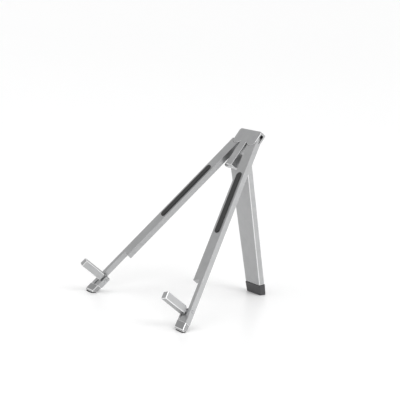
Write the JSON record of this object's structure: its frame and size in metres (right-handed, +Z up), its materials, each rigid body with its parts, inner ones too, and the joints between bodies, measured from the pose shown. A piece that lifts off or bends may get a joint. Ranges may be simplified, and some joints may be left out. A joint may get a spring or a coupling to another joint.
{
  "type": "tablet stand",
  "caption": "Folding metal tablet stand with two splayed front legs, fold-out support arms at their feet and one flat rear leg, hinged to a small head.",
  "frame": {"origin": "on the ground, under the middle of the open stand's box", "axes": "+Z up, -Y towards the person using the tablet, +X to that person's right"},
  "size_m": [0.1484, 0.1305, 0.1337],
  "materials": {
    "metal": "satin anodised silver, bright bevelled edges",
    "steel": "turned steel",
    "washer": "natural nylon",
    "black_rubber": "matt black rubber",
    "dark_foot": "dark grey moulded rubber, slight sheen"
  },
  "bodies": {
    "head": {"hinge_head": "metal", "left_leg_rivet": "steel", "right_leg_rivet": "steel", "left_leg_washers": "washer", "right_leg_washers": "washer"},
    "left_leg": {"left_leg": "metal", "left_leg_grip": "black_rubber", "left_foot": "metal", "left_foot_pad": "black_rubber", "left_arm_pin": "steel", "left_arm_spacers": "steel"},
    "right_leg": {"right_leg": "metal", "right_leg_grip": "black_rubber", "right_foot": "metal", "right_foot_pad": "black_rubber", "right_arm_pin": "steel", "right_arm_spacers": "steel"},
    "left_arm": {"left_arm": "metal"},
    "right_arm": {"right_arm": "metal"},
    "rear_leg": {"rear_leg": "metal", "rear_foot": "dark_foot", "rear_hinge_pin": "steel", "rear_hinge_washers": "washer"}
  },
  "joints": [
    {"name": "left_leg_swing", "type": "hinge", "parent": "head", "child": "left_leg", "pos_m": [-0.00935, 0.05135, 0.12731], "axis": [0, -0.7727, 0.6347], "range_deg": [0, 19.7]},
    {"name": "right_leg_swing", "type": "hinge", "parent": "head", "child": "right_leg", "pos_m": [0.00935, 0.05135, 0.12731], "axis": [0, 0.7727, -0.6347], "range_deg": [0, 19.7]},
    {"name": "rear_leg_swing", "type": "hinge", "parent": "head", "child": "rear_leg", "pos_m": [0, 0.0447, 0.10599], "axis": [-1, 0, 0], "range_deg": [0, 48.9]},
    {"name": "left_arm_fold", "type": "hinge", "parent": "left_leg", "child": "left_arm", "pos_m": [-0.06189, -0.04391, 0.01135], "axis": [-0.9415, 0.214, 0.2605], "range_deg": [0, 90]},
    {"name": "right_arm_fold", "type": "hinge", "parent": "right_leg", "child": "right_arm", "pos_m": [0.06189, -0.04391, 0.01135], "axis": [-0.9415, -0.214, -0.2605], "range_deg": [0, 90]}
  ]
}
